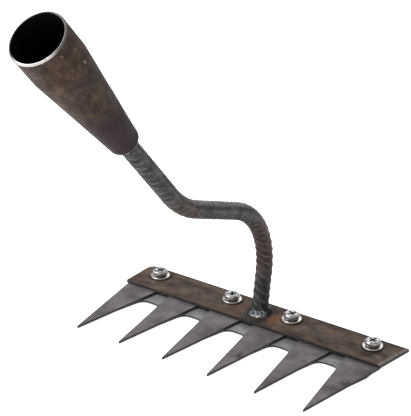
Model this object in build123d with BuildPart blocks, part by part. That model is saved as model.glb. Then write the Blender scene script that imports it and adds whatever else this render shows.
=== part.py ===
from build123d import *
from math import atan2, cos, radians, sin, tan
import os

os.makedirs("parts", exist_ok=True)

# Hand rake head: a row of knife teeth clamped under a flat bar, carried by a bent
# reinforcing-bar stem that ends in a conical handle socket. Millimetres throughout.

# Teeth
tooth_count = 6
tooth_pitch = 50.0
root_width = 34.0  # tooth width where it leaves the bar
tip_width = 0.8
tooth_reach = 95.5  # bar edge to tooth tip
blade_thickness = 2.5

# Flat bar over the teeth
bar_width = 40.0
bar_thickness = 3.0
bar_end_margin = 1.5  # bar beyond the outer teeth
bar_end_slant = 6.5  # the right end is sheared at a slant, longer at the back
bar_corner_radius = 8.0
bar_length = (tooth_count - 1) * tooth_pitch + root_width + 2 * bar_end_margin

# Comb plate under the teeth
comb_thickness = 2.0
comb_reach = 15.2  # bar edge to the bottom of the gullets
finger_reach = 49.0  # bar edge to the hidden finger ends
finger_inset = 0.5  # fingers stay inside the teeth by this on each side
finger_taper = 2.6  # further inset at the hidden finger ends
gullet_radius = 10.0
tail_inset = 4.0  # blades and comb plate stop short of the bar's back edge

# Fasteners
screw_diameter = 6.0
screw_hole_clearance = 0.6
screw_hole_diameter = screw_diameter + screw_hole_clearance
screw_tail = 1.5  # thread past the nut
head_diameter = 14.6
head_height = 4.0
head_round = 2.0
recess_span = 8.4
recess_width = 1.7
recess_depth = 2.0
lock_washer_diameter = 13.0
lock_washer_clearance = 0.5
lock_washer_bore = screw_diameter + lock_washer_clearance
lock_washer_thickness = 1.5
lock_washer_gap = 1.0
flat_washer_diameter = 18.8
flat_washer_clearance = 0.6
flat_washer_bore = screw_diameter + flat_washer_clearance
flat_washer_thickness = 1.8
nut_across_flats = 10.0
nut_height = 5.0
screw_back_margin = 15.0  # screw row to the bar's back edge
screw_setback = bar_width - screw_back_margin
screw_positions = [k * tooth_pitch for k in (-2.42, -0.68, 0.68, 2.42)]

# Stem, measured in the plane across the middle of the bar
stem_diameter = 16.4  # over the ribs
stem_back_margin = 18.0  # foot of the stem to the bar's back edge
stem_setback = bar_width - stem_back_margin
leg_angle = 80.4
leg_length = 97.5  # foot to the corner above it
knee_radius = 71.0
run_angle = 158.4
run_length = 144.0  # corner to corner
neck_radius = 90.0
socket_angle = 130.1
neck_length = 108.0  # corner to the socket's small end
stem_insert = 12.0  # stem inside the socket

# Handle socket
socket_diameter = 47.2
socket_wall = 1.8
socket_length = 143.5
collar_length = 33.0
nose_wall = 5.0  # steel around the stem at the small end
nose_diameter = stem_diameter + 2 * nose_wall
nose_radius = 4.2
nose_thickness = 4.0

# Weld beads
foot_bead_reach = 4.6  # bead past the stem at its foot
foot_bead_radius = stem_diameter / 2 + foot_bead_reach
foot_bead_height = 5.0
foot_bead_top = 1.0  # bead left around the stem at its top
neck_bead_length = 4.2
neck_bead_height = 2.2

# The rake rests on its tooth tips and the screw ends, so the bar leans forward.
stack_below = blade_thickness + comb_thickness + nut_height + screw_tail
rest_run = tooth_reach + screw_setback - screw_diameter / 2
tilt = atan2(stack_below - blade_thickness, rest_run)


def along(start, length, angle):
    return (start[0] + length * cos(radians(angle)), start[1] + length * sin(radians(angle)))


foot = (stem_setback, bar_thickness)
knee_corner = along(foot, leg_length, leg_angle)
knee_turn = run_angle - leg_angle
neck_turn = run_angle - socket_angle
knee_tangent = knee_radius * tan(radians(knee_turn / 2))
neck_tangent = neck_radius * tan(radians(neck_turn / 2))
knee_start = along(foot, leg_length - knee_tangent, leg_angle)
neck_corner = along(knee_corner, run_length, run_angle)
nose = along(neck_corner, neck_length, socket_angle)
mouth = along(nose, socket_length, socket_angle)

# Deck: the underside of the bar, with its origin at the middle of the front edge. It is
# placed so that the rake stands on z = 0 with the origin under the middle of its box.
front_reach = (
    mouth[0] * cos(tilt) - mouth[1] * sin(tilt)
    - socket_diameter / 2 * sin(radians(180 - socket_angle) - tilt)
)
knee_centre = along(knee_start, knee_radius, leg_angle + 90)
back_reach = max(
    bar_width * cos(tilt),
    knee_centre[0] * cos(tilt) - knee_centre[1] * sin(tilt) + knee_radius + stem_diameter / 2,
)
deck = Plane(
    origin=(
        -bar_end_slant / 2,
        -(front_reach + back_reach) / 2,
        tooth_reach * sin(tilt) + blade_thickness * cos(tilt),
    ),
    x_dir=(1, 0, 0),
    z_dir=(0, -sin(tilt), cos(tilt)),
)
spine = Plane(origin=deck.origin, x_dir=deck.y_dir, z_dir=deck.x_dir)


def keep(piece, node):
    piece.label = node
    export_step(piece, f"parts/{node}.step")


def tooth_centre(n):
    return (n - (tooth_count - 1) / 2) * tooth_pitch


def finger_half_width(reach):
    tooth_width = root_width - (root_width - tip_width) * reach / tooth_reach
    return tooth_width / 2 - finger_inset


tail = bar_width - tail_inset
finger_root = finger_half_width(comb_reach)
finger_end = finger_half_width(finger_reach) - finger_taper
comb_length = (tooth_count - 1) * tooth_pitch + 2 * finger_root
screw_spots = [(x, screw_setback) for x in screw_positions]

# Flat bar, with its back left corner rounded off and its right end cut at a slant
with BuildPart() as tooth_bar:
    with BuildSketch(deck) as bar_outline:
        with BuildLine():
            Polyline(
                (-bar_length / 2, 0),
                (bar_length / 2, 0),
                (bar_length / 2 + bar_end_slant, bar_width),
                (-bar_length / 2, bar_width),
                close=True,
            )
        make_face()
        back_left = bar_outline.vertices().sort_by(Axis.X)[0:2].sort_by(Axis.Y)[-1]
        fillet(back_left, radius=bar_corner_radius)
        with Locations(*screw_spots):
            Circle(screw_hole_diameter / 2, mode=Mode.SUBTRACT)
    extrude(amount=bar_thickness)
keep(tooth_bar.part, "tooth_bar")

# Knife blades, each a rectangle under the bar and a long triangle in front of it
for n in range(tooth_count):
    centre = tooth_centre(n)
    with BuildPart() as blade:
        with BuildSketch(deck.offset(-blade_thickness)):
            with BuildLine():
                Polyline(
                    (centre - root_width / 2, tail),
                    (centre + root_width / 2, tail),
                    (centre + root_width / 2, 0),
                    (centre + tip_width / 2, -tooth_reach),
                    (centre - tip_width / 2, -tooth_reach),
                    (centre - root_width / 2, 0),
                    close=True,
                )
            make_face()
            holes = [s for s in screw_spots if abs(s[0] - centre) < root_width / 2]
            if holes:
                with Locations(*holes):
                    Circle(screw_hole_diameter / 2, mode=Mode.SUBTRACT)
        extrude(amount=blade_thickness)
    keep(blade.part, f"blade_{n + 1}")

# Comb plate: a strip with short fingers under the teeth and round gullets between them
with BuildPart() as comb_plate:
    with BuildSketch(deck.offset(-blade_thickness - comb_thickness)):
        with Locations((0, (tail - comb_reach) / 2)):
            Rectangle(comb_length, tail + comb_reach)
        for n in range(tooth_count):
            centre = tooth_centre(n)
            with BuildLine():
                Polyline(
                    (centre - finger_root, -comb_reach),
                    (centre + finger_root, -comb_reach),
                    (centre + finger_end, -finger_reach),
                    (centre - finger_end, -finger_reach),
                    close=True,
                )
            make_face()
        with Locations(*screw_spots):
            Circle(screw_hole_diameter / 2, mode=Mode.SUBTRACT)
    extrude(amount=comb_thickness)
    gullet_corners = [
        deck.from_local_coords(
            (tooth_centre(n) + side * finger_root, -comb_reach, 0)
        ) - deck.z_dir * (blade_thickness + comb_thickness / 2)
        for n in range(tooth_count)
        for side in (-1, 1)
    ][1:-1]
    gullets = comb_plate.edges().filter_by(
        lambda e: any((e.center() - corner).length < 0.01 for corner in gullet_corners)
    )
    fillet(gullets, radius=gullet_radius)
keep(comb_plate.part, "comb_plate")

# Screw, split lock washer, flat washer and nut at each hole
flat_seat = bar_thickness
lock_seat = flat_seat + flat_washer_thickness
head_seat = lock_seat + lock_washer_thickness
nut_seat = -blade_thickness - comb_thickness
screw_end = nut_seat - nut_height - screw_tail
for n, spot in enumerate(screw_spots):
    with BuildPart() as flat_washer:
        with BuildSketch(deck.offset(flat_seat)):
            with Locations(spot):
                Circle(flat_washer_diameter / 2)
                Circle(flat_washer_bore / 2, mode=Mode.SUBTRACT)
        extrude(amount=flat_washer_thickness)
    keep(flat_washer.part, f"flat_washer_{n + 1}")

    with BuildPart() as lock_washer:
        with BuildSketch(deck.offset(lock_seat)):
            with Locations(spot):
                Circle(lock_washer_diameter / 2)
                Circle(lock_washer_bore / 2, mode=Mode.SUBTRACT)
            with Locations((spot[0] - lock_washer_diameter / 2, spot[1])):
                Rectangle(lock_washer_diameter, lock_washer_gap, mode=Mode.SUBTRACT)
        extrude(amount=lock_washer_thickness)
    keep(lock_washer.part, f"lock_washer_{n + 1}")

    with BuildPart() as screw:
        with BuildSketch(deck.offset(head_seat)):
            with Locations(spot):
                Circle(head_diameter / 2)
        extrude(amount=head_height)
        head_top = screw.faces().sort_by(Axis(deck.origin, deck.z_dir))[-1]
        fillet(head_top.edges(), radius=head_round)
        with BuildSketch(deck.offset(head_seat + head_height)):
            with Locations(spot):
                Rectangle(recess_span, recess_width)
                Rectangle(recess_width, recess_span)
        extrude(amount=-recess_depth, mode=Mode.SUBTRACT)
        with BuildSketch(deck.offset(screw_end)):
            with Locations(spot):
                Circle(screw_diameter / 2)
        extrude(amount=head_seat - screw_end)
    keep(screw.part, f"screw_{n + 1}")

    with BuildPart() as nut:
        with BuildSketch(deck.offset(nut_seat)):
            with Locations(spot):
                RegularPolygon(nut_across_flats / 2, 6, major_radius=False)
                Circle(screw_diameter / 2, mode=Mode.SUBTRACT)
        extrude(amount=-nut_height)
    keep(nut.part, f"nut_{n + 1}")

# Stem: one bent bar from the weld on the flat bar into the socket
stem_end = along(nose, stem_insert, socket_angle)
below_foot = along(foot, -stem_diameter, leg_angle)
with BuildPart() as stem:
    with BuildLine(spine) as stem_path:
        leg = Line(below_foot, knee_start)
        knee = JernArc(leg @ 1, leg % 1, knee_radius, knee_turn)
        run = Line(knee @ 1, along(neck_corner, -neck_tangent, run_angle))
        neck = JernArc(run @ 1, run % 1, neck_radius, -neck_turn)
        Line(neck @ 1, stem_end)
    with BuildSketch(Plane(origin=leg @ 0, z_dir=leg % 0)):
        Circle(stem_diameter / 2)
    sweep()
    split(bisect_by=deck.offset(bar_thickness), keep=Keep.TOP)
keep(stem.part, "stem")

# Socket: a straight collar, a long cone and a rounded nose, turned about its own axis
into = (spine.from_local_coords(nose) - spine.from_local_coords(mouth)).normalized()
socket_plane = Plane(origin=spine.from_local_coords(mouth), x_dir=into, z_dir=spine.z_dir)
socket_axis = Axis(socket_plane.origin, into)
outer = socket_diameter / 2
nose_end = nose_diameter / 2
nose_flat = nose_end - nose_radius
with BuildPart() as socket:
    with BuildSketch(socket_plane):
        with BuildLine():
            Polyline(
                (0, outer),
                (collar_length, outer),
                (socket_length - nose_radius, nose_end),
            )
            RadiusArc(
                (socket_length - nose_radius, nose_end),
                (socket_length, nose_flat),
                nose_radius,
            )
            Polyline(
                (socket_length, nose_flat),
                (socket_length, stem_diameter / 2),
                (socket_length - nose_thickness, stem_diameter / 2),
                (socket_length - nose_thickness, nose_end - socket_wall),
                (collar_length, outer - socket_wall),
                (0, outer - socket_wall),
                (0, outer),
            )
        make_face()
    revolve(axis=socket_axis)
keep(socket.part, "socket")

# Weld bead where the stem enters the nose
with BuildPart() as socket_weld:
    with BuildSketch(socket_plane):
        with BuildLine():
            Polyline(
                (socket_length, stem_diameter / 2),
                (socket_length, stem_diameter / 2 + neck_bead_height),
                (socket_length + neck_bead_length, stem_diameter / 2),
                close=True,
            )
        make_face()
    revolve(axis=socket_axis)
keep(socket_weld.part, "socket_weld")

# Weld bead around the stem's foot, following the lean of the stem
bead_top = along(foot, foot_bead_height / sin(radians(leg_angle)), leg_angle)
with BuildPart() as foot_weld:
    with BuildSketch(deck.offset(foot[1])):
        with Locations((0, foot[0])):
            Circle(foot_bead_radius)
    with BuildSketch(deck.offset(bead_top[1])):
        with Locations((0, bead_top[0])):
            Circle(stem_diameter / 2 + foot_bead_top)
    loft()
    add(stem.part, mode=Mode.SUBTRACT)
keep(foot_weld.part, "foot_weld")
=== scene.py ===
import bpy
import bmesh
import math
from mathutils import Matrix, Vector, noise


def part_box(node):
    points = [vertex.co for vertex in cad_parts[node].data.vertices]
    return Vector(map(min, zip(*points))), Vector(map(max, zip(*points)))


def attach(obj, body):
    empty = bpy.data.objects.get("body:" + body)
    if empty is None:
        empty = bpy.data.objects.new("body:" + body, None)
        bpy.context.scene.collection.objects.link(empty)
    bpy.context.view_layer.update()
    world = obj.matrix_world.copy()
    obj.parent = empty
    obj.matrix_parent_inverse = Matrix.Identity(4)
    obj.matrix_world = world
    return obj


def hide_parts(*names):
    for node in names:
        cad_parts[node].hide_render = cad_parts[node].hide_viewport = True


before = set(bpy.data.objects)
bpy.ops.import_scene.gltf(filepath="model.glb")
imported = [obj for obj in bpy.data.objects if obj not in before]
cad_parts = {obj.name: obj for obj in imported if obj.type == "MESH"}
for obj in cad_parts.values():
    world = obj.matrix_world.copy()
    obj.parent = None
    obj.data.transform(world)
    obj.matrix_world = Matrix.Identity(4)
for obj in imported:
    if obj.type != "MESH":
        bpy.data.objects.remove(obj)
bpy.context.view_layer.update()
scene = bpy.context.scene
print("frame loaded:", len(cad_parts), "nodes")

barTop = 0.003  # upper face of the bar above its lower one
screwSetback = 0.025  # middles of the screws behind the bar's front edge
screwNumbers = (1, 2, 3, 4)
bladeNumbers = (1, 2, 3, 4, 5, 6)


# The bar leans forward a little, so most places are worked out on its own three directions.
def deckFrame():
    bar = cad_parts["tooth_bar"].data
    top = max((p for p in bar.polygons if p.normal.z > 0.9), key=lambda p: p.area)
    up = top.normal.normalized()
    side = Vector((1, 0, 0))
    back = up.cross(side).normalized()
    corners = [v.co for v in bar.vertices]
    low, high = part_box("stem")
    origin = side * (low.x + high.x) / 2
    origin += back * min(c.dot(back) for c in corners) + up * min(c.dot(up) for c in corners)
    return origin, side, back, up


deckOrigin, deckSide, deckBack, deckUp = deckFrame()


def onDeck(x, y, z):
    return deckOrigin + deckSide * x + deckBack * y + deckUp * z


def middleOf(node):
    low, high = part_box(node)
    return (low + high) / 2


screwPlaces = [middleOf(f"screw_{n}").x for n in screwNumbers]


def fromHex(code):
    def toLinear(c):
        return c / 12.92 if c <= 0.04045 else ((c + 0.055) / 1.055) ** 2.4
    return tuple(toLinear(int(code[i:i + 2], 16) / 255) for i in (0, 2, 4)) + (1.0,)


# Gives a tree the one function that adds a node to it: its kind, its inputs as values or as links, a
# colour ramp's stops and any other settings. It returns the wanted output, or the node for out=None.
def adder(tree):
    def add(kind, inputs=None, out=0, stops=(), **settings):
        node = tree.nodes.new(kind)
        for key, value in settings.items():
            setattr(node, key, value)
        for key, value in (inputs or {}).items():
            if isinstance(value, bpy.types.NodeSocket):
                tree.links.new(value, node.inputs[key])
            else:
                node.inputs[key].default_value = value
        if stops:
            bands = node.color_ramp.elements
            while len(bands) < len(stops):
                bands.new(0.5)
            for band, (place, colour) in zip(bands, stops):
                band.position = place
                band.color = fromHex(colour) if isinstance(colour, str) else (colour, colour, colour, 1)
        return node if out is None else node.outputs[out]
    return add


# A material from a function that works out the inputs of its surface.
def newMaterial(name, surfaceOf, *values):
    material = bpy.data.materials.new(name)
    material.use_nodes = True
    material.node_tree.nodes.clear()
    add = adder(material.node_tree)
    surface = add("ShaderNodeBsdfPrincipled", surfaceOf(add, *values))
    add("ShaderNodeOutputMaterial", {"Surface": surface}, out=None)
    return material


# Cloudy pattern whose patches are about the given size in metres.
def patches(add, coords, size, detail=4.0, rough=0.55, stretch=(1, 1, 1), shift=(0, 0, 0)):
    place = add("ShaderNodeMapping", {
        "Vector": coords,
        "Location": shift,
        "Scale": tuple(s / size for s in stretch),
    })
    return add("ShaderNodeTexNoise", {
        "Vector": place, "Scale": 1.0, "Detail": detail, "Roughness": rough,
    }, out="Fac")


# 1 where a value is near the middle one, falling smoothly from the full distance to 0 at the far one.
def band(add, value, middle, full, far):
    offset = add("ShaderNodeMath", {0: value, 1: middle}, operation="SUBTRACT")
    away = add("ShaderNodeMath", {0: offset}, operation="ABSOLUTE")
    return add("ShaderNodeMapRange", {
        "Value": away, "From Min": full, "From Max": far, "To Min": 1.0, "To Max": 0.0,
    }, interpolation_type="SMOOTHSTEP")


# Mask of round spots on the bar or the blades, each given as its place, its reach and its solid core.
def spots(add, coords, height, places):
    mask = None
    for x, y, reach, core in places:
        away = add("ShaderNodeVectorMath", {0: coords, 1: tuple(onDeck(x, y, height))},
                   out="Value", operation="DISTANCE")
        one = band(add, away, 0.0, core, reach)
        mask = one if mask is None else add("ShaderNodeMath", {0: mask, 1: one}, operation="MAXIMUM")
    return mask


# Lets another colour through where both masks are high.
def stain(add, colour, hue, mask, also=1.0):
    amount = add("ShaderNodeMath", {0: mask, 1: also}, operation="MULTIPLY")
    return add("ShaderNodeMix", {0: amount, 6: colour, 7: fromHex(hue)}, out=2, data_type="RGBA")


# Lets a fine pattern darken and lighten a colour.
def mottle(add, colour, pattern, amount, low, high):
    tone = add("ShaderNodeValToRGB", {"Fac": pattern}, stops=[(0.3, low), (0.7, high)])
    return add("ShaderNodeMix", {0: amount, 6: colour, 7: tone}, out=2,
               data_type="RGBA", blend_type="OVERLAY")


def newPiece(name, vertices, faces, materials):
    mesh = bpy.data.meshes.new(name)
    mesh.from_pydata([tuple(v) for v in vertices], [], faces)
    mesh.validate()
    mesh.shade_smooth()
    for material in materials:
        mesh.materials.append(material)
    piece = bpy.data.objects.new(name, mesh)
    scene.collection.objects.link(piece)
    return piece


def recalcNormals(piece):
    work = bmesh.new()
    work.from_mesh(piece.data)
    bmesh.ops.recalc_face_normals(work, faces=work.faces)
    work.to_mesh(piece.data)
    work.free()


# Copy of a CAD node with its flat faces made whole and its sharp edges eased.
def easedCopy(name, node, ease, segments, material, sides=None):
    flat, sharpest, shading = 0.5, 30, 40  # degrees
    sideLean = 0.6  # faces that lean more than this are sides
    work = bmesh.new()
    work.from_mesh(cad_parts[node].data)
    bmesh.ops.remove_doubles(work, verts=work.verts, dist=1e-6)
    bmesh.ops.dissolve_limit(
        work, angle_limit=math.radians(flat), verts=work.verts, edges=work.edges)
    sharp = [e for e in work.edges
             if len(e.link_faces) == 2 and e.calc_face_angle(0) > math.radians(sharpest)]
    bmesh.ops.bevel(
        work, geom=sharp, offset=ease, segments=segments, profile=0.5, affect="EDGES",
        clamp_overlap=True)
    mesh = bpy.data.meshes.new(name)
    work.to_mesh(mesh)
    work.free()
    mesh.shade_smooth()
    mesh.set_sharp_from_angle(angle=math.radians(shading))
    mesh.materials.append(material)
    # the side faces get the sides material, which is their painted shade
    if sides is not None:
        mesh.materials.append(sides)
        for polygon in mesh.polygons:
            polygon.material_index = int(abs(polygon.normal.dot(deckUp)) < sideLean)
    piece = bpy.data.objects.new(name, mesh)
    scene.collection.objects.link(piece)
    return piece


def settle(piece, slot, *nodes):
    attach(piece, "root")
    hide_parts(*nodes)


# Hot-rolled flat bar: brown mill scale, scorched at the weld with a rusty splash beside it, so it looks
# dull and blotchy. The cut right end is paler and the back edge darker.
def hotRolledBar(add):
    look = {
        "deep": "2b211e", "brown": "4f3f35", "wornAndLit": "6a5645", "rust": "533024",
        "cut": "8c8784", "backEdge": "1f1e21", "blotch": 0.015, "grain": 0.0014,
        "smooth": 0.5, "dull": 0.72,
        # hue, strength, whether ragged, and each spot's x, y, reach and solid core on the bar
        "splashesAndShadows": [
            ("533024", 0.8, True, [(-0.016, 0.018, 0.012, 0.0), (-0.014, -0.001, 0.012, 0.0)]),
            ("1b1c1f", 0.85, False, [(0.003, 0.003, 0.016, 0.007), (0.004, 0.016, 0.018, 0.012)]),
            ("77482b", 0.9, True, [(0.0205, 0.0175, 0.010, 0.004), (0.0215, 0.010, 0.007, 0.001),
                                   (0.023, 0.025, 0.007, 0.001)]),
            ("8a7566", 0.6, True, [(0.1343, 0.0118, 0.006, 0.0), (-0.119, 0.0115, 0.006, 0.0)]),
            # painted shadow around each washer
            ("17120f", 0.9, False, [(x - deckOrigin.x, screwSetback, 0.0122, 0.0096)
                                    for x in screwPlaces]),
        ],
    }
    at = add("ShaderNodeTexCoord", out="Object")
    blotch = patches(add, at, look["blotch"], 7.0, 0.66, (0.7, 1.3, 1))
    colour = add("ShaderNodeValToRGB", {"Fac": blotch},
                 stops=[(0.36, look["deep"]), (0.5, look["brown"]), (0.66, look["wornAndLit"])])
    cloud = patches(add, at, 0.013, 6.0, 0.72, shift=(4, 1, 2))
    rusty = add("ShaderNodeValToRGB", {"Fac": cloud}, stops=[(0.5, 0.0), (0.66, 0.65)])
    colour = stain(add, colour, look["rust"], rusty)
    grain = patches(add, at, look["grain"], 4.0, 0.72)
    colour = mottle(add, colour, grain, 0.6, 0.3, 0.72)
    cloud = patches(add, at, 0.005, 5.0, 0.65, shift=(1, 7, 3))
    ragged = add("ShaderNodeValToRGB", {"Fac": cloud}, stops=[(0.36, 0.25), (0.58, 1.0)])
    for hue, strength, hasRaggedEdge, places in look["splashesAndShadows"]:
        mask = spots(add, at, barTop, places)
        if hasRaggedEdge:
            mask = add("ShaderNodeMath", {0: mask, 1: ragged}, operation="MULTIPLY")
        colour = stain(add, colour, hue, mask, strength)
    # pale nicks along the slanting end, worked out from the bar's own outline
    corners = [v.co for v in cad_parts["tooth_bar"].data.vertices]
    front = min(c.dot(deckBack) for c in corners)
    frontEnd = max((c for c in corners if c.dot(deckBack) < front + 0.001), key=lambda c: c.x)
    backEnd = max(corners, key=lambda c: c.x)
    outward = (backEnd - frontEnd).cross(deckUp).normalized()
    reach = add("ShaderNodeVectorMath", {0: at, 1: tuple(outward)}, out="Value", operation="DOT_PRODUCT")
    cutEnd = band(add, reach, frontEnd.dot(outward), 0.0018, 0.0052)
    cloud = patches(add, at, 0.004, 4.0, 0.7, shift=(9, 2, 5))
    nicked = add("ShaderNodeValToRGB", {"Fac": cloud}, stops=[(0.38, 0.0), (0.6, 1.0)])
    colour = stain(add, colour, look["cut"], cutEnd, nicked)
    depth = add("ShaderNodeVectorMath", {0: at, 1: tuple(deckBack)}, out="Value", operation="DOT_PRODUCT")
    backBand = band(add, depth, max(c.dot(deckBack) for c in corners), 0.0012, 0.0034)
    colour = stain(add, colour, look["backEdge"], backBand, 0.75)
    relief = add("ShaderNodeBump", {"Height": grain, "Distance": 0.0003, "Strength": 0.6})
    return {
        "Base Color": colour,
        "Metallic": 0.3,
        "Roughness": add("ShaderNodeValToRGB", {"Fac": blotch},
                         stops=[(0.3, look["dull"]), (0.7, look["smooth"])]),
        "Normal": add("ShaderNodeBump", {"Height": blotch, "Distance": 0.0005, "Strength": 0.4,
                                         "Normal": relief}),
    }


# Ribbed reinforcing bar as rolled: dark blue-grey scale, browned where it was heated and bent, with
# speckled painted light on the faces that look up and a painted highlight along some rib crests.
def ribbedBarScale(add):
    look = {
        "dark": "262628", "scale": "3b3b3d", "pale": "525154", "rust": "4b342b", "ribCrestHighlight": "77716f",
        "paintedTopLight": "a39fa2", "grain": 0.0011,
        "browned": ((0.072, 0.055), (0.2226, 0.03)),  # place along the bar and reach
    }
    at = add("ShaderNodeTexCoord", out="Object")
    along = add("ShaderNodeAttribute", out="Fac", attribute_name="along")
    height = add("ShaderNodeAttribute", out="Fac", attribute_name="relief")
    blotch = patches(add, at, 0.008, 6.0, 0.66)
    colour = add("ShaderNodeValToRGB", {"Fac": blotch},
                 stops=[(0.36, look["dark"]), (0.52, look["scale"]), (0.7, look["pale"])])
    speck = patches(add, at, 0.0035, 5.0, 0.7, shift=(3, 5, 1))
    spotty = add("ShaderNodeValToRGB", {"Fac": speck}, stops=[(0.4, 0.15), (0.58, 1.0)])
    for middle, reach in look["browned"]:
        colour = stain(add, colour, look["rust"], band(add, along, middle, reach * 0.3, reach), spotty)
    grain = patches(add, at, look["grain"], 4.0, 0.7)
    colour = mottle(add, colour, grain, 0.5, 0.3, 0.72)
    # painted highlight along the rib crests, in speckles
    crest = add("ShaderNodeValToRGB", {"Fac": height}, stops=[(0.6, 0.0), (0.95, 0.6)])
    spotty = add("ShaderNodeValToRGB", {"Fac": speck}, stops=[(0.45, 0.0), (0.62, 1.0)])
    colour = stain(add, colour, look["ribCrestHighlight"], crest, spotty)
    # painted top light: faces that look up are lightened in speckles
    normal = add("ShaderNodeNewGeometry", out="Normal")
    facing = add("ShaderNodeVectorMath", {0: normal, 1: (0, 0, 1)}, out="Value", operation="DOT_PRODUCT")
    topLightMask = add("ShaderNodeValToRGB", {"Fac": facing}, stops=[(0.4, 0.0), (0.78, 0.9)])
    spotty = add("ShaderNodeValToRGB", {"Fac": speck}, stops=[(0.36, 0.25), (0.6, 1.0)])
    colour = stain(add, colour, look["paintedTopLight"], topLightMask, spotty)
    hollow = add("ShaderNodeValToRGB", {"Fac": height}, stops=[(0.0, 0.72), (0.5, 1.0)])
    colour = add("ShaderNodeMix", {0: 1.0, 6: colour, 7: hollow}, out=2,
                 data_type="RGBA", blend_type="MULTIPLY")
    return {
        "Base Color": colour,
        "Metallic": 0.3,
        "Specular IOR Level": 0.35,
        "Roughness": add("ShaderNodeValToRGB", {"Fac": blotch}, stops=[(0.3, 0.66), (0.7, 0.48)]),
        "Normal": add("ShaderNodeBump", {"Height": grain, "Distance": 0.0003, "Strength": 0.6}),
    }


# Drawn steel tube, swaged to a cone: brown scale with fine lengthwise streaks and a few bare scratches,
# purple-grey near the small end.
def swagedTubeScale(add):
    look = {
        "dark": "261b17", "brown": "3d2e25", "warm": "53402f", "plum": "2a1f22", "violet": "3c3034",
        "bare": "a79c90", "streak": 0.0042, "scratch": 0.0016,
        "plumFrom": 0.055, "plumTo": 0.115, "scratchedTo": 0.07,  # distances from the mouth
    }
    at = add("ShaderNodeTexCoord", out="Object")
    along = add("ShaderNodeAttribute", out="Fac", attribute_name="along")
    lengthwise = add("ShaderNodeAttribute", out="Vector", attribute_name="around")
    streaks = patches(add, lengthwise, look["streak"], 7.0, 0.68, (1.0, 1.0, 0.22))
    blotch = patches(add, at, 0.014, 6.0, 0.66, shift=(2, 2, 9))
    mixed = add("ShaderNodeMix", {0: 0.6, 2: streaks, 3: blotch})
    colour = add("ShaderNodeValToRGB", {"Fac": mixed},
                 stops=[(0.38, look["dark"]), (0.5, look["brown"]), (0.62, look["warm"])])
    cloud = patches(add, at, 0.017, 5.0, 0.62, shift=(7, 3, 2))
    cloudy = add("ShaderNodeValToRGB", {"Fac": cloud}, stops=[(0.5, 0.0), (0.66, 0.55)])
    colour = stain(add, colour, look["violet"], cloudy)
    toNose = add("ShaderNodeMapRange", {
        "Value": along, "From Min": look["plumFrom"], "From Max": look["plumTo"],
    }, interpolation_type="SMOOTHSTEP")
    streaky = add("ShaderNodeValToRGB", {"Fac": streaks}, stops=[(0.3, 0.7), (0.6, 1.0)])
    colour = stain(add, colour, look["plum"], toNose, streaky)
    grain = patches(add, at, 0.0011, 4.0, 0.72)
    colour = mottle(add, colour, grain, 0.55, 0.3, 0.72)
    scratch = patches(add, lengthwise, look["scratch"], 3.0, 0.5, (1.0, 1.0, 0.35), shift=(3, 8, 5))
    scratched = add("ShaderNodeValToRGB", {"Fac": scratch}, stops=[(0.67, 0.0), (0.74, 0.8)])
    colour = stain(add, colour, look["bare"], scratched, band(add, along, 0.0, 0.02, look["scratchedTo"]))
    relief = add("ShaderNodeBump", {"Height": grain, "Distance": 0.00025, "Strength": 0.5})
    return {
        "Base Color": colour,
        "Metallic": 0.15,
        "Specular IOR Level": 0.1,
        "Roughness": add("ShaderNodeValToRGB", {"Fac": mixed}, stops=[(0.35, 0.66), (0.65, 0.5)]),
        "Normal": add("ShaderNodeBump", {"Height": streaks, "Distance": 0.0003, "Strength": 0.35,
                                         "Normal": relief}),
    }


# Turned mouth edge: bright along the bottom, which is painted light together with wear where the socket
# gets stood down, and still scaled on the far side.
def litAndWornEdge(add):
    at = add("ShaderNodeTexCoord", out="Object")
    grain = patches(add, at, 0.0009, 4.0, 0.6)
    wearAndLight = add("ShaderNodeAttribute", out="Fac", attribute_name="wornAndLit")
    wornAndLit = add("ShaderNodeValToRGB", {"Fac": wearAndLight},
               stops=[(0.0, "121213"), (0.45, "8a8683"), (1.0, "cdc8c3")])
    return {
        "Base Color": mottle(add, wornAndLit, grain, 0.3, 0.35, 0.68),
        "Metallic": 0.6,
        "Roughness": add("ShaderNodeValToRGB", {"Fac": grain}, stops=[(0.3, 0.35), (0.7, 0.5)]),
        "Normal": add("ShaderNodeBump", {"Height": grain, "Distance": 0.0001, "Strength": 0.4}),
    }


# Inside of the socket: painted nearly black as shade, and matt.
def insidePaintedShade(add):
    at = add("ShaderNodeTexCoord", out="Object")
    cloud = patches(add, at, 0.006, 4.0, 0.6)
    return {
        "Base Color": add("ShaderNodeValToRGB", {"Fac": cloud}, stops=[(0.3, "050506"), (0.7, "0b0b0b")]),
        "Specular IOR Level": 0.1,
        "Roughness": 0.9,
        "Normal": add("ShaderNodeBump", {"Height": cloud, "Distance": 0.0003, "Strength": 0.4}),
    }


# Sheared and rolled edges, painted dark as shade, so every plate is outlined by a thin dark side.
def paintedShadeSides(add):
    at = add("ShaderNodeTexCoord", out="Object")
    cloud = patches(add, at, 0.003, 5.0, 0.65)
    return {
        "Base Color": add("ShaderNodeValToRGB", {"Fac": cloud}, stops=[(0.35, "2e2b2a"), (0.65, "454140")]),
        "Metallic": 0.2,
        "Specular IOR Level": 0.25,
        "Roughness": 0.7,
        "Normal": add("ShaderNodeBump", {"Height": cloud, "Distance": 0.0003, "Strength": 0.5}),
    }


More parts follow.
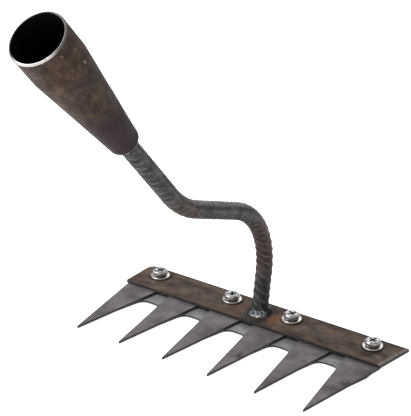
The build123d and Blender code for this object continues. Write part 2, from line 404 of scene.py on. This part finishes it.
# Tempered knife steel: flat purple-grey with grinding lines along the blade and a few rust specks.
def temperedBlade(add):
    look = {
        "dark": "5e595b", "grey": "706a6d", "pale": "7f797d", "rust": "36241f", "brown": "5e514d",
        "lines": 0.0014,
        "rustSpots": ((0.131, -0.0386, 0.009, 0.0), (0.1275, -0.0505, 0.007, 0.0),
                      (0.0300, -0.0535, 0.009, 0.0)),
    }
    at = add("ShaderNodeTexCoord", out="Object")
    cloud = patches(add, at, 0.02, 6.0, 0.62)
    colour = add("ShaderNodeValToRGB", {"Fac": cloud},
                 stops=[(0.36, look["dark"]), (0.5, look["grey"]), (0.66, look["pale"])])
    lines = patches(add, at, look["lines"], 4.0, 0.66, (1.0, 0.08, 0.3))
    colour = mottle(add, colour, lines, 0.35, 0.34, 0.66)
    grain = patches(add, at, 0.0012, 3.0, 0.7, shift=(2, 9, 4))
    colour = mottle(add, colour, grain, 0.3, 0.34, 0.66)
    fog = patches(add, at, 0.011, 5.0, 0.65, shift=(6, 3, 1))
    foggy = add("ShaderNodeValToRGB", {"Fac": fog}, stops=[(0.55, 0.0), (0.72, 0.55)])
    colour = stain(add, colour, look["brown"], foggy)
    fleck = patches(add, at, 0.0032, 4.0, 0.6, (1, 0.6, 1), shift=(1, 4, 7))
    speckled = add("ShaderNodeValToRGB", {"Fac": fleck}, stops=[(0.42, 0.0), (0.5, 0.95)])
    colour = stain(add, colour, look["rust"], speckled, spots(add, at, 0.0, look["rustSpots"]))
    return {
        "Base Color": colour,
        "Metallic": 0.4,
        "Specular IOR Level": 0.4,
        "Roughness": add("ShaderNodeValToRGB", {"Fac": cloud}, stops=[(0.3, 0.62), (0.7, 0.5)]),
        "Normal": add("ShaderNodeBump", {"Height": lines, "Distance": 0.00012, "Strength": 0.4}),
    }


# Cold-rolled strip: lighter plain grey with a fine brushed grain.
def coldRolledStrip(add):
    at = add("ShaderNodeTexCoord", out="Object")
    cloud = patches(add, at, 0.01, 5.0, 0.6)
    colour = add("ShaderNodeValToRGB", {"Fac": cloud},
                 stops=[(0.34, "787678"), (0.52, "8b898b"), (0.7, "9b999a")])
    lines = patches(add, at, 0.0015, 4.0, 0.6, (0.08, 1.0, 0.3))
    return {
        "Base Color": mottle(add, colour, lines, 0.35, 0.35, 0.68),
        "Metallic": 0.5,
        "Roughness": add("ShaderNodeValToRGB", {"Fac": cloud}, stops=[(0.3, 0.56), (0.7, 0.42)]),
        "Normal": add("ShaderNodeBump", {"Height": lines, "Distance": 0.0001, "Strength": 0.4}),
    }


# Bright zinc plate on pressed steel: pale and shiny, with faint cloudy crystals.
def brightZinc(add, pale, dull, rough):
    at = add("ShaderNodeTexCoord", out="Object")
    cloud = patches(add, at, 0.0022, 4.0, 0.6)
    return {
        "Base Color": add("ShaderNodeValToRGB", {"Fac": cloud}, stops=[(0.3, dull), (0.7, pale)]),
        "Metallic": 1.0,
        "Roughness": add("ShaderNodeValToRGB", {"Fac": cloud}, stops=[(0.3, rough + 0.1), (0.7, rough)]),
        "Normal": add("ShaderNodeBump", {"Height": cloud, "Distance": 0.00008, "Strength": 0.5}),
    }


# Arc-weld metal: silvery blue ripples on the stretches that cooled clean, painted bright there as light,
# sooty elsewhere; the ripple troughs and the bead's edges are painted darker as shade.
def weldMetal(add):
    at = add("ShaderNodeTexCoord", out="Object")
    crest = add("ShaderNodeAttribute", out="Fac", attribute_name="ripple")
    cleanAndLit = add("ShaderNodeAttribute", out="Fac", attribute_name="cleanAndLit")
    cloud = patches(add, at, 0.003, 5.0, 0.65)
    metal = add("ShaderNodeValToRGB", {"Fac": cloud},
                stops=[(0.36, "434b54"), (0.52, "7f868d"), (0.66, "b9b5b0")])
    sooty = add("ShaderNodeValToRGB", {"Fac": cloud}, stops=[(0.36, "1c1e20"), (0.6, "3c3d40")])
    colour = add("ShaderNodeMix", {0: cleanAndLit, 6: sooty, 7: metal}, out=2, data_type="RGBA")
    # painted shade in the ripple troughs and along the bead's edges, a little painted light on the crests
    shade = add("ShaderNodeMapRange", {"Value": crest, "To Min": 0.4, "To Max": 1.1})
    colour = add("ShaderNodeMix", {0: 1.0, 6: colour, 7: shade}, out=2,
                 data_type="RGBA", blend_type="MULTIPLY")
    fine = patches(add, at, 0.001, 3.0, 0.6)
    return {
        "Base Color": colour,
        "Metallic": 0.7,
        "Roughness": add("ShaderNodeValToRGB", {"Fac": cloud}, stops=[(0.3, 0.5), (0.7, 0.3)]),
        "Normal": add("ShaderNodeBump", {"Height": fine, "Distance": 0.00015, "Strength": 0.5}),
    }


barSteel = newMaterial("hotRolledBar", hotRolledBar)
stemSteel = newMaterial("ribbedBarScale", ribbedBarScale)
tubeSteel = newMaterial("swagedTubeScale", swagedTubeScale)
rimSteel = newMaterial("litAndWornEdge", litAndWornEdge)
insideShade = newMaterial("insidePaintedShade", insidePaintedShade)
bladeSteel = newMaterial("temperedBlade", temperedBlade)
combSteel = newMaterial("coldRolledStrip", coldRolledStrip)
screwZinc = newMaterial("brightZincScrew", brightZinc, "dddddd", "85858a", 0.24)
washerZinc = newMaterial("brightZincWasher", brightZinc, "fbf5ee", "cdc6c0", 0.26)
# the lock washer is dull zinc painted dark as the shade under the screw head
shadedSpringZinc = newMaterial("dullZincPaintedShade", brightZinc, "4a4a4c", "2b2b2d", 0.4)
recessShade = newMaterial("recessPaintedShade", brightZinc, "3d3d40", "1f1f22", 0.5)
sideShadeSteel = newMaterial("paintedShadeSides", paintedShadeSides)
beadSteel = newMaterial("weldMetal", weldMetal)
print("materials made:", len(bpy.data.materials))


stem = {
    "setback": 0.022,
    "legAngle": 80.4, "legLength": 0.0975, "kneeRadius": 0.071,
    "runAngle": 158.4, "runLength": 0.144, "neckRadius": 0.090,
    "socketAngle": 130.1, "neckLength": 0.108, "insideSocket": 0.0118,
    "coreRadius": 0.0076, "ribHeight": 0.00058, "ribSpacing": 0.0078, "ribWidth": 0.36,
    "ribLean": 1.25, "seamHeight": 0.0005, "seamWidth": 0.0013, "seamTurn": -5.0,
    "ringStep": 0.00045, "sides": 84,
}


def polar(start, length, degrees):
    angle = math.radians(degrees)
    return (start[0] + length * math.cos(angle), start[1] + length * math.sin(angle))


# Centre line of the stem in the plane across the middle of the bar, as (back, up) pairs.
def stemLine():
    s = stem
    start = (s["setback"], barTop)
    knee = polar(start, s["legLength"], s["legAngle"])
    neck = polar(knee, s["runLength"], s["runAngle"])
    noseEnd = polar(neck, s["neckLength"], s["socketAngle"])
    kneeTurn = s["runAngle"] - s["legAngle"]
    neckTurn = s["runAngle"] - s["socketAngle"]
    kneeRun = s["kneeRadius"] * math.tan(math.radians(kneeTurn / 2))
    neckRun = s["neckRadius"] * math.tan(math.radians(neckTurn / 2))
    line = [start]
    bendStart = polar(start, s["legLength"] - kneeRun, s["legAngle"])
    centre = polar(bendStart, s["kneeRadius"], s["legAngle"] + 90)
    steps = 48
    for i in range(steps + 1):
        line.append(polar(centre, s["kneeRadius"], s["legAngle"] - 90 + kneeTurn * i / steps))
    bendStart = polar(neck, -neckRun, s["runAngle"])
    centre = polar(bendStart, s["neckRadius"], s["runAngle"] - 90)
    for i in range(steps + 1):
        line.append(polar(centre, s["neckRadius"], s["runAngle"] + 90 - neckTurn * i / steps))
    line.append(polar(noseEnd, s["insideSocket"], s["socketAngle"]))
    return line, noseEnd


stemPath, nosePoint = stemLine()
noseCentre = onDeck(0, *nosePoint)
socketDirection = (onDeck(0, *polar(nosePoint, 1.0, stem["socketAngle"])) - noseCentre).normalized()


# A new geometry tree with named inputs and one geometry output, its adder and its inputs' sockets.
def newTree(name, inputs):
    tree = bpy.data.node_groups.new(name, "GeometryNodeTree")
    tree.interface.new_socket("Geometry", in_out="INPUT", socket_type="NodeSocketGeometry")
    for label, kind in inputs.items():
        tree.interface.new_socket(label, in_out="INPUT", socket_type="NodeSocket" + kind)
    tree.interface.new_socket("Geometry", in_out="OUTPUT", socket_type="NodeSocketGeometry")
    add = adder(tree)
    return tree, add, add("NodeGroupInput", out=None).outputs


def endTree(add, geometry, finish):
    whole = add("GeometryNodeRealizeInstances", {"Geometry": geometry})
    done = add("GeometryNodeSetMaterial", {"Geometry": whole, "Material": finish})
    add("NodeGroupOutput", {"Geometry": done}, out=None)


def ribbedStemTree():
    sizes = ("Core Radius", "Rib Height", "Rib Spacing", "Rib Width", "Rib Lean",
             "Seam Height", "Seam Width", "Seam Turn", "Ring Step")
    tree, add, given = newTree("ribbedStem", {
        **{label: "Float" for label in sizes}, "Sides": "Int", "Finish": "Material",
    })
    path = add("GeometryNodeResampleCurve", {
        "Curve": given["Geometry"], "Length": given["Ring Step"],
    }, mode="LENGTH")
    # each ring keeps how far along it is, its middle and the way it faces
    for label, kind, value in (
        ("along", "FLOAT", add("GeometryNodeSplineParameter", out="Length")),
        ("centre", "FLOAT_VECTOR", add("GeometryNodeInputPosition")),
        ("heading", "FLOAT_VECTOR", add("GeometryNodeInputTangent")),
    ):
        path = add("GeometryNodeStoreNamedAttribute", {
            "Geometry": path, "Name": label, "Value": value,
        }, data_type=kind, domain="POINT")
    ring = add("GeometryNodeCurvePrimitiveCircle", {
        "Resolution": given["Sides"], "Radius": given["Core Radius"],
    })
    tube = add("GeometryNodeCurveToMesh", {"Curve": path, "Profile Curve": ring, "Fill Caps": True})
    along, centre, heading = [
        add("GeometryNodeInputNamedAttribute", {"Name": label}, out="Attribute", data_type=kind)
        for label, kind in (("along", "FLOAT"), ("centre", "FLOAT_VECTOR"), ("heading", "FLOAT_VECTOR"))
    ]

    # angle around the bar, from its side, and turned to where the long seams are
    place = add("GeometryNodeInputPosition")
    outward = add("ShaderNodeVectorMath", {0: place, 1: centre}, operation="SUBTRACT")
    upward = add("ShaderNodeVectorMath", {0: (1, 0, 0), 1: heading}, operation="CROSS_PRODUCT")
    above = add("ShaderNodeVectorMath", {0: outward, 1: upward}, out="Value", operation="DOT_PRODUCT")
    beside = add("ShaderNodeVectorMath", {0: outward, 1: (1, 0, 0)}, out="Value", operation="DOT_PRODUCT")
    angle = add("ShaderNodeMath", {0: above, 1: beside}, operation="ARCTAN2")
    angle = add("ShaderNodeMath", {0: angle, 1: given["Seam Turn"]}, operation="ADD")
    swing = add("ShaderNodeMath", {0: angle}, operation="SINE")
    reach = add("ShaderNodeMath", {0: swing}, operation="ABSOLUTE")
    flank = add("ShaderNodeMath", {0: angle}, operation="COSINE")

    # slanted ribs on each half, out of step by half a rib and lower toward the seams
    count = add("ShaderNodeMath", {0: along, 1: given["Rib Spacing"]}, operation="DIVIDE")
    upperHalf = add("ShaderNodeMath", {0: swing, 1: 0.0}, operation="GREATER_THAN")
    step = add("ShaderNodeMath", {0: upperHalf, 1: 0.5}, operation="MULTIPLY")
    slant = add("ShaderNodeMath", {0: flank, 1: given["Rib Lean"]}, operation="MULTIPLY")
    slant = add("ShaderNodeMath", {0: slant, 1: 0.5}, operation="MULTIPLY")
    phase = add("ShaderNodeMath", {0: count, 1: step}, operation="ADD")
    forward = add("ShaderNodeMath", {0: slant, 1: 40.0}, operation="ADD")  # keeps the count above zero
    phase = add("ShaderNodeMath", {0: phase, 1: forward}, operation="ADD")
    phase = add("ShaderNodeMath", {0: phase}, operation="FRACT")
    fromMiddle = add("ShaderNodeMath", {0: phase, 1: 0.5}, operation="SUBTRACT")
    fromMiddle = add("ShaderNodeMath", {0: fromMiddle}, operation="ABSOLUTE")
    crestEnd = add("ShaderNodeMath", {0: given["Rib Width"], 1: 0.2}, operation="MULTIPLY")
    footEnd = add("ShaderNodeMath", {0: given["Rib Width"], 1: 0.72}, operation="MULTIPLY")
    rib = add("ShaderNodeMapRange", {
        "Value": fromMiddle, "From Min": crestEnd, "From Max": footEnd, "To Min": 1.0, "To Max": 0.0,
    }, interpolation_type="SMOOTHSTEP")
    ribFade = add("ShaderNodeMapRange", {
        "Value": reach, "From Min": 0.16, "From Max": 0.62, "To Min": 0.0, "To Max": 1.0,
    }, interpolation_type="SMOOTHSTEP")
    ribRise = add("ShaderNodeMath", {0: rib, 1: ribFade}, operation="MULTIPLY")
    ribRise = add("ShaderNodeMath", {0: ribRise, 1: given["Rib Height"]}, operation="MULTIPLY")

    # the two long seams are rounded ridges
    seamAway = add("ShaderNodeMath", {0: reach, 1: given["Core Radius"]}, operation="MULTIPLY")
    seamAway = add("ShaderNodeMath", {0: seamAway, 1: given["Seam Width"]}, operation="DIVIDE")
    seam = add("ShaderNodeMath", {0: seamAway, 1: seamAway}, operation="MULTIPLY")
    seam = add("ShaderNodeMath", {0: seam, 1: -1.0}, operation="MULTIPLY")
    seam = add("ShaderNodeMath", {0: seam}, operation="EXPONENT")
    seamRise = add("ShaderNodeMath", {0: seam, 1: given["Seam Height"]}, operation="MULTIPLY")
    rise = add("ShaderNodeMath", {0: ribRise, 1: seamRise}, operation="MAXIMUM")
    relief = add("ShaderNodeMath", {0: rise, 1: given["Rib Height"]}, operation="DIVIDE")
    tube = add("GeometryNodeStoreNamedAttribute", {
        "Geometry": tube, "Name": "relief", "Value": relief,
    }, data_type="FLOAT", domain="POINT")
    direction = add("ShaderNodeVectorMath", {0: outward}, operation="NORMALIZE")
    shift = add("ShaderNodeVectorMath", {0: direction, "Scale": rise}, operation="SCALE")
    radius = add("ShaderNodeVectorMath", {0: outward}, out="Value", operation="LENGTH")
    offAxis = add("ShaderNodeMath", {0: radius, 1: 0.001}, operation="GREATER_THAN")
    tube = add("GeometryNodeSetPosition", {"Geometry": tube, "Selection": offAxis, "Offset": shift})
    endTree(add, tube, given["Finish"])
    return tree


# Runs a node tree on a carrier object and leaves its result as a plain mesh piece.
def grow(name, carrierData, tree, values):
    carrier = bpy.data.objects.new(name + "Carrier", carrierData)
    scene.collection.objects.link(carrier)
    modifier = carrier.modifiers.new("grow", "NODES")
    modifier.node_group = tree
    sockets = {s.name: s.identifier for s in tree.interface.items_tree
               if s.item_type == "SOCKET" and s.in_out == "INPUT"}
    for label, value in values.items():
        modifier[sockets[label]] = value
    bpy.context.view_layer.update()
    graph = bpy.context.evaluated_depsgraph_get()
    mesh = bpy.data.meshes.new_from_object(carrier.evaluated_get(graph), depsgraph=graph)
    mesh.name = name
    bpy.data.objects.remove(carrier)
    piece = bpy.data.objects.new(name, mesh)
    scene.collection.objects.link(piece)
    return piece


def makeStem():
    curve = bpy.data.curves.new("stemLine", "CURVE")
    curve.dimensions = "3D"
    spline = curve.splines.new("POLY")
    spline.points.add(len(stemPath) - 1)
    for point, (y, z) in zip(spline.points, stemPath):
        point.co = (*onDeck(0, y, z), 1)
    piece = grow("stem", curve, ribbedStemTree(), {
        "Core Radius": stem["coreRadius"],
        "Rib Height": stem["ribHeight"],
        "Rib Spacing": stem["ribSpacing"],
        "Rib Width": stem["ribWidth"],
        "Rib Lean": stem["ribLean"],
        "Seam Height": stem["seamHeight"],
        "Seam Width": stem["seamWidth"],
        "Seam Turn": math.radians(-stem["seamTurn"]),
        "Ring Step": stem["ringStep"],
        "Sides": stem["sides"],
        "Finish": stemSteel,
    })
    work = bmesh.new()
    work.from_mesh(piece.data)
    bmesh.ops.remove_doubles(work, verts=work.verts, dist=1e-7)
    # the leaning foot is pressed level with the top of the bar
    level = deckOrigin + deckUp * barTop
    for vertex in work.verts:
        below = (vertex.co - level).dot(deckUp)
        if below < 0:
            vertex.co -= deckUp * below
    bmesh.ops.recalc_face_normals(work, faces=work.faces)
    work.to_mesh(piece.data)
    work.free()
    piece.data.shade_smooth()
    piece.data.set_sharp_from_angle(angle=math.radians(50))
    settle(piece, "rebar_steel", "stem")
    print("stem:", len(piece.data.polygons), "faces")


makeStem()


socket = {
    "radius": 0.0236, "wall": 0.0018, "length": 0.1435, "collar": 0.033,
    "noseRadius": 0.0132, "noseRound": 0.0042, "plug": 0.004, "stemRadius": 0.0082,
    "chamfer": 0.0012, "knuckle": 0.05, "around": 160, "dent": 0.00022, "dentSize": 1 / 45,
    # wear and painted light of the mouth edge: middle, full and far turn in degrees, and how much
    "wearAndLight": (((-65, 34, 62), 1.0), ((30, 50, 70), 0.32)), "leastWearAndLight": 0.03,
}


def outerRadius(s):
    k = socket
    slope = (k["radius"] - k["noseRadius"]) / (k["length"] - k["noseRound"] - k["collar"])
    soft = k["knuckle"] * slope / 2
    if s < k["collar"] - soft:
        return k["radius"]
    if s < k["collar"] + soft:
        t = (s - k["collar"] + soft) / (2 * soft)
        return k["radius"] - slope * soft * t * t
    return k["radius"] - slope * (s - k["collar"])


# Section of the socket as (distance from the mouth, radius, what it is).
def socketSection():
    k = socket
    chamfer = k["chamfer"]
    section = [(0.0, k["radius"] - chamfer, "rim"), (chamfer * 0.2, k["radius"] - chamfer * 0.55, "rim"),
               (chamfer * 0.55, k["radius"] - chamfer * 0.2, "rim"), (chamfer, k["radius"], "skin")]
    end = k["length"] - k["noseRound"]
    steps = 90
    for i in range(1, steps + 1):
        s = chamfer + (end - chamfer) * i / steps
        section.append((s, outerRadius(s), "skin"))
    for i in range(1, 9):
        a = math.radians(90 - 90 * i / 8)
        section.append((end + k["noseRound"] * math.cos(a),
                        k["noseRadius"] - k["noseRound"] + k["noseRound"] * math.sin(a), "skin"))
    section.append((k["length"], k["stemRadius"], "skin"))
    section.append((k["length"] - k["plug"], k["stemRadius"], "skin"))
    inner = k["noseRadius"] - k["wall"]
    section.append((k["length"] - k["plug"], inner, "inside"))
    for i in range(1, 31):
        s = (k["length"] - k["plug"]) * (1 - i / 30)
        radius = outerRadius(max(s, 0)) - k["wall"]
        if i < 30:
            section.append((s, radius, "inside"))
    section.append((0.0006, k["radius"] - k["wall"], "inside"))
    section.append((0.0, k["radius"] - k["wall"] + 0.0003, "rim"))
    return section


# How bright the mouth edge is at an angle, from wear and painted light: bright along the bottom, a little
# up one side.
def rimWearAndLight(degrees):
    wearAndLight = socket["leastWearAndLight"]
    for (middle, full, far), most in socket["wearAndLight"]:
        away = abs((degrees - middle + 180) % 360 - 180)
        wearAndLight = max(wearAndLight, most * min(1.0, max(0.0, (far - away) / (far - full))))
    return wearAndLight


def makeSocket():
    section = socketSection()
    count = socket["around"]
    mouth = noseCentre + socketDirection * socket["length"]
    across = Vector((1, 0, 0))
    over = socketDirection.cross(across).normalized()
    vertices, faces, kinds, along, around, wornAndLit = [], [], [], [], [], []
    for s, radius, kind in section:
        for j in range(count):
            angle = 2 * math.pi * j / count
            direction = across * math.cos(angle) + over * math.sin(angle)
            place = mouth - socketDirection * s + direction * radius
            if kind == "skin" and 0.004 < s < socket["length"] - 0.008:
                dip = noise.noise(place / socket["dentSize"]) * 0.5 + 0.5
                place -= direction * dip * socket["dent"]
            vertices.append(place)
            along.append(s)
            around.append((math.cos(angle) * radius, math.sin(angle) * radius, s))
            wornAndLit.append(rimWearAndLight(math.degrees(angle)))
    rows = len(section)
    for i in range(rows):
        nextRow = (i + 1) % rows
        kind = section[i][2] if section[i][2] == section[nextRow][2] else (
            "rim" if "rim" in (section[i][2], section[nextRow][2]) else "inside")
        for j in range(count):
            k = (j + 1) % count
            faces.append((i * count + j, i * count + k, nextRow * count + k, nextRow * count + j))
            kinds.append({"skin": 0, "rim": 1, "inside": 2}[kind])
    piece = newPiece("socket", vertices, faces, [tubeSteel, rimSteel, insideShade])
    piece.data.polygons.foreach_set("material_index", kinds)
    piece.data.attributes.new("along", "FLOAT", "POINT").data.foreach_set("value", along)
    piece.data.attributes.new("wornAndLit", "FLOAT", "POINT").data.foreach_set("value", wornAndLit)
    piece.data.attributes.new("around", "FLOAT_VECTOR", "POINT").data.foreach_set(
        "vector", [c for v in around for c in v])
    recalcNormals(piece)
    piece.data.set_sharp_from_angle(angle=math.radians(50))
    settle(piece, "scaled_steel", "socket")
    print("socket:", len(faces), "faces")


makeSocket()


plates = {"barEase": 0.0004, "bladeEase": 0.00025, "combEase": 0.0003}

bar = easedCopy("tooth_bar", "tooth_bar", plates["barEase"], 3, barSteel, sideShadeSteel)
settle(bar, "scaled_steel", "tooth_bar")
comb = easedCopy("comb_plate", "comb_plate", plates["combEase"], 2, combSteel, sideShadeSteel)
settle(comb, "comb_steel", "comb_plate")
for number in bladeNumbers:
    blade = easedCopy(f"blade_{number}", f"blade_{number}", plates["bladeEase"], 2, bladeSteel, sideShadeSteel)
    settle(blade, "blade_steel", f"blade_{number}")
print("plates eased")


fasteners = {
    "screw": {"ease": 0.00012, "finish": screwZinc, "spin": 180.0},
    "lock_washer": {"ease": 0.00015, "finish": shadedSpringZinc, "spin": 180.0},
    "flat_washer": {"ease": 0.00025, "finish": washerZinc, "spin": 180.0},
    "nut": {"ease": 0.0003, "finish": screwZinc, "spin": 60.0},
}


def atHolesTree():
    tree, add, given = newTree("atHoles", {
        "Fastener": "Object", "Spin": "Float", "Seed": "Int", "Axis": "Vector", "Finish": "Material",
    })
    shape = add("GeometryNodeObjectInfo", {"Object": given["Fastener"]}, out="Geometry")
    turn = add("FunctionNodeRandomValue", {
        "Min": 0.0, "Max": given["Spin"], "Seed": given["Seed"],
    }, out="Value", data_type="FLOAT")
    turned = add("FunctionNodeAxisAngleToRotation", {"Axis": given["Axis"], "Angle": turn})
    copies = add("GeometryNodeInstanceOnPoints", {
        "Points": given["Geometry"], "Instance": shape, "Rotation": turned,
    })
    endTree(add, copies, given["Finish"])
    return tree


# The cross recess is painted dark as shade.
def darkenRecesses(piece):
    recess = {"reach": 0.0048, "shallowest": 0.0003, "deepest": 0.0024}
    piece.data.materials.append(recessShade)
    top = max((v.co - deckOrigin).dot(deckUp) for v in piece.data.vertices)
    for polygon in piece.data.polygons:
        away = polygon.center - deckOrigin
        beside = min(abs(polygon.center.x - x) for x in screwPlaces)
        reach = math.hypot(beside, away.dot(deckBack) - screwSetback)
        depth = top - away.dot(deckUp)
        if reach < recess["reach"] and recess["shallowest"] < depth < recess["deepest"]:
            polygon.material_index = 1


def makeFasteners():
    tree = atHolesTree()
    for seed, (kind, make) in enumerate(fasteners.items()):
        nodes = [f"{kind}_{n}" for n in screwNumbers]
        middle = onDeck(0, screwSetback, 0)
        # a split washer's box is off its middle, so the screw gives that one
        middle.x = middleOf(nodes[0]).x if kind != "lock_washer" else screwPlaces[0]
        master = easedCopy(kind + "Master", nodes[0], make["ease"], 2, make["finish"])
        master.data.transform(Matrix.Translation(-middle))
        holes = bpy.data.meshes.new(kind + "Holes")
        holes.from_pydata([(x, middle.y, middle.z) for x in screwPlaces], [], [])
        piece = grow(kind + "s", holes, tree, {
            "Fastener": master,
            "Spin": math.radians(make["spin"]),
            "Seed": seed + 3,
            "Axis": deckUp,
            "Finish": make["finish"],
        })
        bpy.data.objects.remove(master)
        if kind == "screw":
            darkenRecesses(piece)
        settle(piece, "zinc_plate", *nodes)
        print(kind + "s:", len(piece.data.polygons), "faces")


makeFasteners()


beads = {
    "foot": {"reach": 0.0118, "forward": 0.0026, "rise": 0.0048, "ripples": 15, "depth": 0.0008,
             "around": 300, "across": 14, "lift": 0.0016, "cleanAndLit": ((290, 50), (42, 24))},
    "neck": {"reach": 0.0103, "length": 0.0041, "ripples": 15, "depth": 0.0005,
             "around": 240, "across": 10, "lift": 0.0011, "cleanAndLit": ((278, 52), (345, 16))},
}  # middles and half widths, in degrees, of the stretches that cooled clean and are painted bright as light


# A bead of molten metal laid in a corner: a row of overlapping crescents.
def layBead(name, make, innerAt, outerAt, liftAt):
    vertices, faces, crest, cleanAndLit = [], [], [], []
    rows, columns = make["across"] + 1, make["around"]
    for j in range(columns):
        angle = 2 * math.pi * j / columns
        inner, outer, lift = innerAt(angle), outerAt(angle), liftAt(angle)
        for i in range(rows):
            t = i / (rows - 1)
            bow = math.sin(math.pi * t)
            lag = 0.9 * (1 - (2 * t - 1) ** 2)
            drift = 0.35 * noise.noise(Vector((math.cos(angle) * 3, math.sin(angle) * 3, 6)))
            wave = angle * make["ripples"] / (2 * math.pi) - lag + drift
            uneven = noise.noise(Vector((math.cos(angle) * 2.2, math.sin(angle) * 2.2, t))) * 0.35
            ripple = 0.5 + 0.5 * math.cos(2 * math.pi * wave)
            place = outer.lerp(inner, t) + lift * bow * (0.5 + uneven) + lift.normalized() * (
                make["depth"] * (ripple - 0.5) * bow)
            vertices.append(place)
            crest.append(ripple * (0.25 + 0.75 * bow))
        vertices.append(inner.lerp(outer, 0.5) - lift.normalized() * 0.0012)
        crest.append(0.0)
        # the clean stretches are also painted bright as light
        bright = 0.0
        for middle, half in make["cleanAndLit"]:
            turn = abs((math.degrees(angle) - middle + 180) % 360 - 180)
            bright = max(bright, min(1.0, max(0.0, (half - turn) / 14)))
        cleanAndLit.extend([bright] * (rows + 1))
    stride = rows + 1
    for j in range(columns):
        k = (j + 1) % columns
        for i in range(rows - 1):
            faces.append((j * stride + i, k * stride + i, k * stride + i + 1, j * stride + i + 1))
        faces.append((j * stride + rows - 1, k * stride + rows - 1, k * stride + rows, j * stride + rows))
        faces.append((j * stride + rows, k * stride + rows, k * stride, j * stride))
    piece = newPiece(name, vertices, faces, [beadSteel])
    piece.data.attributes.new("ripple", "FLOAT", "POINT").data.foreach_set("value", crest)
    piece.data.attributes.new("cleanAndLit", "FLOAT", "POINT").data.foreach_set("value", cleanAndLit)
    recalcNormals(piece)
    settle(piece, "weld_metal", name)


def makeBeads():
    foot = beads["foot"]
    lean = math.radians(stem["legAngle"])
    radius = stem["coreRadius"] - 0.0002

    def footOuter(angle):
        wobble = 1 + 0.1 * noise.noise(Vector((math.cos(angle) * 1.7, math.sin(angle) * 1.7, 4)))
        forward = max(0.0, math.cos(angle - math.radians(297))) ** 2
        reach = foot["reach"] * wobble + foot["forward"] * forward
        return onDeck(math.cos(angle) * reach, stem["setback"] + math.sin(angle) * reach, barTop)

    def footInner(angle):
        unevenness = noise.noise(Vector((math.cos(angle) * 2, math.sin(angle) * 2, 9)))
        height = foot["rise"] * (0.9 + 0.2 * unevenness)
        back = stem["setback"] + height / math.tan(lean) + math.sin(angle) * radius / math.sin(lean)
        return onDeck(math.cos(angle) * radius, back, barTop + height)

    def footLift(angle):
        outward = deckSide * math.cos(angle) + deckBack * math.sin(angle)
        return (outward + deckUp).normalized() * foot["lift"]

    layBead("foot_weld", foot, footInner, footOuter, footLift)
    neck = beads["neck"]
    across = Vector((1, 0, 0))
    over = socketDirection.cross(across).normalized()

    def neckDirection(angle):
        return across * math.cos(angle) + over * math.sin(angle)

    def neckOuter(angle):
        return noseCentre + neckDirection(angle) * neck["reach"]

    def neckInner(angle):
        unevenness = noise.noise(Vector((math.cos(angle) * 2, math.sin(angle) * 2, 1)))
        length = neck["length"] * (1 + 0.2 * unevenness)
        return noseCentre - socketDirection * length + neckDirection(angle) * radius

    def neckLift(angle):
        return (neckDirection(angle) - socketDirection).normalized() * neck["lift"]

    layBead("socket_weld", neck, neckInner, neckOuter, neckLift)
    print("weld beads laid")


makeBeads()


studio = {
    "sky": 0.46, "floorGlow": 0.86, "floorSize": 6.0, "lampsAim": (0, 0, 0.12),
    "lamps": {
        "keyLeft": {"place": (-1.2, -0.8, 1.5), "size": 1.3, "power": 36.0},
        "rimBack": {"place": (-0.6, 1.5, 1.3), "size": 1.2, "power": 4.0},
    },
}


# White painted board that glows a little, so nothing shades it.
def paleFloor(add):
    cloud = patches(add, add("ShaderNodeTexCoord", out="Object"), 0.4, 2.0)
    return {
        "Base Color": add("ShaderNodeValToRGB", {"Fac": cloud}, stops=[(0.3, "e6e6e6"), (0.7, "ebebeb")]),
        "Roughness": 0.9,
        "Emission Color": (1, 1, 1, 1),
        "Emission Strength": studio["floorGlow"],
    }


def makeStudio():
    size = studio["floorSize"]
    work = bmesh.new()
    corners = [work.verts.new((x * size, y * size, 0)) for x, y in ((-1, -1), (1, -1), (1, 1), (-1, 1))]
    work.faces.new(corners)
    mesh = bpy.data.meshes.new("floor")
    work.to_mesh(mesh)
    work.free()
    mesh.materials.append(newMaterial("paleFloor", paleFloor))
    floor = bpy.data.objects.new("floor", mesh)
    scene.collection.objects.link(floor)
    world = bpy.data.worlds.new("paleRoom")
    world.use_nodes = True
    background = world.node_tree.nodes["Background"]
    background.inputs["Color"].default_value = (1, 1, 1, 1)
    background.inputs["Strength"].default_value = studio["sky"]
    scene.world = world
    target = Vector(studio["lampsAim"])
    for name, lamp in studio["lamps"].items():
        data = bpy.data.lights.new(name, "AREA")
        data.shape = "DISK"
        data.size = lamp["size"]
        data.energy = lamp["power"]
        light = bpy.data.objects.new(name, data)
        light.location = lamp["place"]
        light.rotation_euler = (target - light.location).to_track_quat("-Z", "Y").to_euler()
        scene.collection.objects.link(light)


def makeCamera():
    view = {
        "azimuth": -35.7207, "elevation": 20.9504, "roll": 1.9459,
        "distance": 1.20681, "aim": (0.0267786, 0.0164338, 0.1644997), "lens": 126.709,
    }
    azimuth, elevation = math.radians(view["azimuth"]), math.radians(view["elevation"])
    forward = Vector((math.sin(azimuth) * math.cos(elevation), math.cos(azimuth) * math.cos(elevation),
                      -math.sin(elevation)))
    level = forward.cross(Vector((0, 0, 1))).normalized()
    upright = level.cross(forward)
    roll = math.radians(view["roll"])
    right = level * math.cos(roll) + upright * math.sin(roll)
    up = right.cross(forward)
    data = bpy.data.cameras.new("camera")
    data.lens = view["lens"]
    data.sensor_width = 36
    data.clip_start = 0.05
    data.clip_end = 50
    camera = bpy.data.objects.new("camera", data)
    place = Vector(view["aim"]) - forward * view["distance"]
    camera.matrix_world = Matrix((
        (right.x, up.x, -forward.x, place.x),
        (right.y, up.y, -forward.y, place.y),
        (right.z, up.z, -forward.z, place.z),
        (0, 0, 0, 1),
    ))
    scene.collection.objects.link(camera)
    scene.camera = camera


makeStudio()
makeCamera()
scene.view_settings.view_transform = "Standard"
print("studio and camera set")
